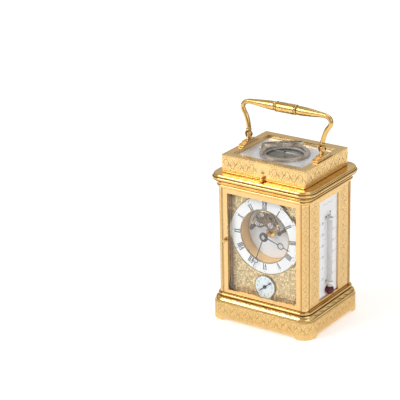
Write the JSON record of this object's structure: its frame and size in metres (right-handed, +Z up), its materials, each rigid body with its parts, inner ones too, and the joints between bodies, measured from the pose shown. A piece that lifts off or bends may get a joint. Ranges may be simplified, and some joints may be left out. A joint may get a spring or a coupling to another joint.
{
  "type": "carriage clock",
  "caption": "Gilt carriage clock with hinged doors, swinging handle, moon hands on a ring dial, alarm dial, thermometer and folding sundial with compass.",
  "frame": {"origin": "middle of the face that the clock stands on", "axes": "+X to the right of someone facing the dial, -Y out of the dial, +Z up"},
  "size_m": [0.1006, 0.0886, 0.19],
  "materials": {
    "gilt_brass": "bright gilt, polished",
    "engraved_gilt_brass": "gilt, engraved with scrolling leaves on a fine matt ground",
    "movement_brass": "lacquered brass, satin",
    "silvered_brass": "silvered and polished",
    "polished_steel": "polished",
    "blued_steel": "polished and blued",
    "white_enamel": "glossy fired enamel",
    "clear_glass": "clear, polished",
    "thermometer_glass": "clear tube with dark red spirit in the bulb"
  },
  "bodies": {
    "case": {"base_moulding": "gilt_brass", "cornice": "gilt_brass", "dial_well": "gilt_brass", "escapement_bridge": "gilt_brass", "handle_mount_left": "gilt_brass", "handle_mount_right": "gilt_brass", "thermometer_clip_lower": "gilt_brass", "thermometer_clip_upper": "gilt_brass", "base_plinth": "engraved_gilt_brass", "corner_post_front_left": "engraved_gilt_brass", "corner_post_rear_left": "engraved_gilt_brass", "corner_post_front_right": "engraved_gilt_brass", "corner_post_rear_right": "engraved_gilt_brass", "upper_box": "engraved_gilt_brass", "right_side_panel": "engraved_gilt_brass", "left_side_panel": "engraved_gilt_brass", "dial_mask": "engraved_gilt_brass", "front_plate": "movement_brass", "back_plate": "movement_brass", "pillar_lower_left": "movement_brass", "pillar_lower_right": "movement_brass", "pillar_upper_left": "movement_brass", "pillar_upper_right": "movement_brass", "dial_floor": "silvered_brass", "sundial_plate": "silvered_brass", "front_door_hinge_rod": "polished_steel", "rear_door_hinge_rod": "polished_steel", "handle_pin_left": "polished_steel", "handle_pin_right": "polished_steel", "bridge_screw_left": "blued_steel", "bridge_screw_right": "blued_steel", "gong": "blued_steel", "chapter_ring": "white_enamel", "alarm_dial": "white_enamel", "thermometer_plate": "white_enamel", "left_side_glass": "clear_glass", "thermometer_tube": "thermometer_glass"},
    "front_door": {"front_door_frame": "gilt_brass", "front_door_glass": "clear_glass"},
    "front_door_latch": {"front_door_knob": "gilt_brass"},
    "rear_door": {"rear_door_frame": "gilt_brass", "rear_door_glass": "clear_glass"},
    "rear_door_latch": {"rear_door_knob": "gilt_brass"},
    "carrying_handle": {"handle": "gilt_brass"},
    "repeat_push": {"repeat_button": "gilt_brass"},
    "centre_arbor": {"centre_wheel": "movement_brass", "minute_hand": "blued_steel"},
    "hour_pipe": {"hour_hand": "blued_steel"},
    "minute_wheel_arbor": {"minute_wheel": "movement_brass"},
    "third_arbor": {"third_wheel": "movement_brass"},
    "going_barrel_arbor": {"going_barrel": "movement_brass"},
    "striking_barrel_arbor": {"striking_barrel": "movement_brass"},
    "escape_arbor": {"escape_wheel": "polished_steel"},
    "lever_staff": {"pallet_lever": "polished_steel"},
    "balance_staff": {"balance_wheel": "movement_brass"},
    "alarm_arbor": {"alarm_hand": "blued_steel"},
    "hammer_arm": {"hammer": "polished_steel"},
    "needle": {"compass_needle": "polished_steel"},
    "sundial_base_ring": {"compass_ring": "silvered_brass"},
    "sundial_hour_ring": {"hour_ring": "silvered_brass"}
  },
  "joints": [
    {"name": "front_door_hinge", "type": "hinge", "parent": "case", "child": "front_door", "pos_m": [0.037, -0.0368, 0.0723], "axis": [0, 0, 1], "range_deg": [0, 100]},
    {"name": "front_door_latch_turn", "type": "hinge", "parent": "front_door", "child": "front_door_latch", "pos_m": [-0.0363, -0.038, 0.073], "axis": [0, 1, 0], "range_deg": [0, 90]},
    {"name": "rear_door_hinge", "type": "hinge", "parent": "case", "child": "rear_door", "pos_m": [-0.037, 0.0368, 0.0723], "axis": [0, 0, 1], "range_deg": [0, 100]},
    {"name": "rear_door_latch_turn", "type": "hinge", "parent": "rear_door", "child": "rear_door_latch", "pos_m": [0.0363, 0.038, 0.073], "axis": [0, -1, 0], "range_deg": [0, 90]},
    {"name": "handle_swing", "type": "hinge", "parent": "case", "child": "carrying_handle", "pos_m": [0, 0, 0.1573], "axis": [1, 0, 0], "range_deg": [-89, 101]},
    {"name": "repeat_button_push", "type": "slide", "parent": "case", "child": "repeat_push", "axis": [0, 1, 0], "range_m": [0, 0.0016], "stiffness_N_per_m": 300, "springref_m": -0.001},
    {"name": "centre_arbor_turn", "type": "hinge", "parent": "case", "child": "centre_arbor", "pos_m": [0, 0, 0.082], "axis": [0, 1, 0], "continuous": true},
    {"name": "hour_hand_turn", "type": "hinge", "parent": "case", "child": "hour_pipe", "pos_m": [0, 0, 0.082], "axis": [0, 1, 0], "continuous": true},
    {"name": "minute_wheel_turn", "type": "hinge", "parent": "case", "child": "minute_wheel_arbor", "pos_m": [0.0124, 0, 0.082], "axis": [0, 1, 0], "continuous": true},
    {"name": "third_wheel_turn", "type": "hinge", "parent": "case", "child": "third_arbor", "pos_m": [-0.0125, 0, 0.0732], "axis": [0, 1, 0], "continuous": true},
    {"name": "going_barrel_turn", "type": "hinge", "parent": "case", "child": "going_barrel_arbor", "pos_m": [-0.0155, 0, 0.046], "axis": [0, 1, 0], "continuous": true},
    {"name": "striking_barrel_turn", "type": "hinge", "parent": "case", "child": "striking_barrel_arbor", "pos_m": [0.0155, 0, 0.046], "axis": [0, 1, 0], "continuous": true},
    {"name": "escape_wheel_turn", "type": "hinge", "parent": "case", "child": "escape_arbor", "pos_m": [-0.0076, -0.026, 0.0922], "axis": [0, 1, 0], "continuous": true},
    {"name": "lever_rock", "type": "hinge", "parent": "case", "child": "lever_staff", "pos_m": [-0.0026, -0.026, 0.1013], "axis": [0, 1, 0], "range_deg": [-4, 4]},
    {"name": "balance_swing", "type": "hinge", "parent": "case", "child": "balance_staff", "pos_m": [0.0054, -0.0288, 0.0929], "axis": [0, 1, 0], "range_deg": [-120, 120], "stiffness_Nm_per_rad": 0.000002},
    {"name": "alarm_hand_turn", "type": "hinge", "parent": "case", "child": "alarm_arbor", "pos_m": [0, -0.0325, 0.036], "axis": [0, 1, 0], "continuous": true},
    {"name": "hammer_swing", "type": "hinge", "parent": "case", "child": "hammer_arm", "pos_m": [0.028, 0.0173, 0.052], "axis": [0, 1, 0], "range_deg": [0, 18], "stiffness_Nm_per_rad": 0.002},
    {"name": "compass_needle_turn", "type": "hinge", "parent": "case", "child": "needle", "pos_m": [0, 0, 0.1474], "axis": [0, 0, 1], "continuous": true},
    {"name": "sundial_azimuth", "type": "hinge", "parent": "case", "child": "sundial_base_ring", "pos_m": [0, 0, 0.147], "axis": [0, 0, 1], "continuous": true},
    {"name": "hour_ring_tilt", "type": "hinge", "parent": "sundial_base_ring", "child": "sundial_hour_ring", "pos_m": [-0.01268, 0.01243, 0.1483], "axis": [-0.7547, -0.6561, 0], "range_deg": [-16, 32]}
  ],
  "couplings": [
    {"joint": "hour_hand_turn", "follows": "centre_arbor_turn", "ratio": 0.083333},
    {"joint": "minute_wheel_turn", "follows": "centre_arbor_turn", "ratio": -0.33333},
    {"joint": "third_wheel_turn", "follows": "centre_arbor_turn", "ratio": -5},
    {"joint": "going_barrel_turn", "follows": "centre_arbor_turn", "ratio": 0.025},
    {"joint": "lever_rock", "follows": "balance_swing", "ratio": -0.033333}
  ]
}
